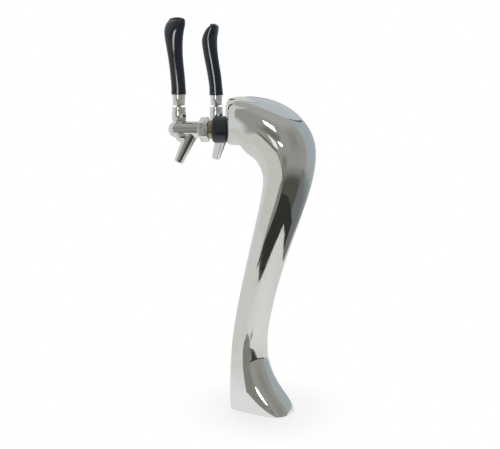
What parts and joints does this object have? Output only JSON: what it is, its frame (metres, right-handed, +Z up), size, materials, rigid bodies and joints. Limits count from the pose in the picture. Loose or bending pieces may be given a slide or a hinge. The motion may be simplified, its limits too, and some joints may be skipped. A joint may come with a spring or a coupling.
{
  "type": "draft beer tower",
  "caption": "Chrome swan-neck draft beer tower with lever taps on its round head, black turned handles, angled spouts and an oval foot.",
  "frame": {"origin": "centre of the foot's face, on the counter", "axes": "+Z up the column, -Y forward towards the taps, +X towards the tap on the viewer's left when the taps face away, the near one in the picture"},
  "size_m": [0.1396, 0.2192, 0.594],
  "materials": {
    "tower_chrome": "mirror chrome plate",
    "chrome": "mirror chrome plate",
    "handle": "polished black phenolic",
    "collar": "satin black moulding",
    "brass": "turned",
    "steel": "turned stainless steel",
    "seal": "moulded",
    "gasket": "moulded",
    "nylon": "turned nylon",
    "hose": "extruded clear-grey tube"
  },
  "bodies": {
    "tower": {"tower_column": "tower_chrome", "base_plate": "steel", "base_gasket": "gasket", "base_plate_screws": "steel", "right_bonnet": "chrome", "right_lock_screw": "steel", "right_ball_washer": "nylon", "right_tap_body": "chrome", "right_coupling_nut": "chrome", "right_coupling_washer": "seal", "right_shank": "brass", "right_collar": "collar", "right_inner_washer": "steel", "right_lock_nut": "brass", "right_tailpiece": "steel", "right_tail_nut": "brass", "right_hose_clamp": "steel", "right_beer_line": "hose", "left_bonnet": "chrome", "left_lock_screw": "steel", "left_ball_washer": "nylon", "left_tap_body": "chrome", "left_coupling_nut": "chrome", "left_coupling_washer": "seal", "left_shank": "brass", "left_collar": "collar", "left_inner_washer": "steel", "left_lock_nut": "brass", "left_tailpiece": "steel", "left_tail_nut": "brass", "left_hose_clamp": "steel", "left_beer_line": "hose"},
    "right_lever": {"right_handle": "handle", "right_handle_insert": "brass", "right_ferrule": "chrome", "right_lever": "steel"},
    "right_plunger": {"right_plunger": "steel", "right_plunger_oring": "seal", "right_seat_seal": "seal"},
    "left_lever": {"left_handle": "handle", "left_handle_insert": "brass", "left_ferrule": "chrome", "left_lever": "steel"},
    "left_plunger": {"left_plunger": "steel", "left_plunger_oring": "seal", "left_seat_seal": "seal"}
  },
  "joints": [
    {"name": "right_lever_hinge", "type": "hinge", "parent": "tower", "child": "right_lever", "pos_m": [0.05167, -0.1174, 0.457], "axis": [0.9239, 0.3827, 0], "range_deg": [0, 24]},
    {"name": "right_plunger_slide", "type": "slide", "parent": "tower", "child": "right_plunger", "axis": [-0.3827, 0.9239, 0], "range_m": [0, 0.00855]},
    {"name": "left_lever_hinge", "type": "hinge", "parent": "tower", "child": "left_lever", "pos_m": [-0.05167, -0.1174, 0.457], "axis": [0.9239, -0.3827, 0], "range_deg": [0, 24]},
    {"name": "left_plunger_slide", "type": "slide", "parent": "tower", "child": "left_plunger", "axis": [0.3827, 0.9239, 0], "range_m": [0, 0.00855]}
  ],
  "couplings": [
    {"joint": "right_plunger_slide", "follows": "right_lever_hinge", "m_per_rad": 0.02039},
    {"joint": "left_plunger_slide", "follows": "left_lever_hinge", "m_per_rad": 0.02039}
  ]
}
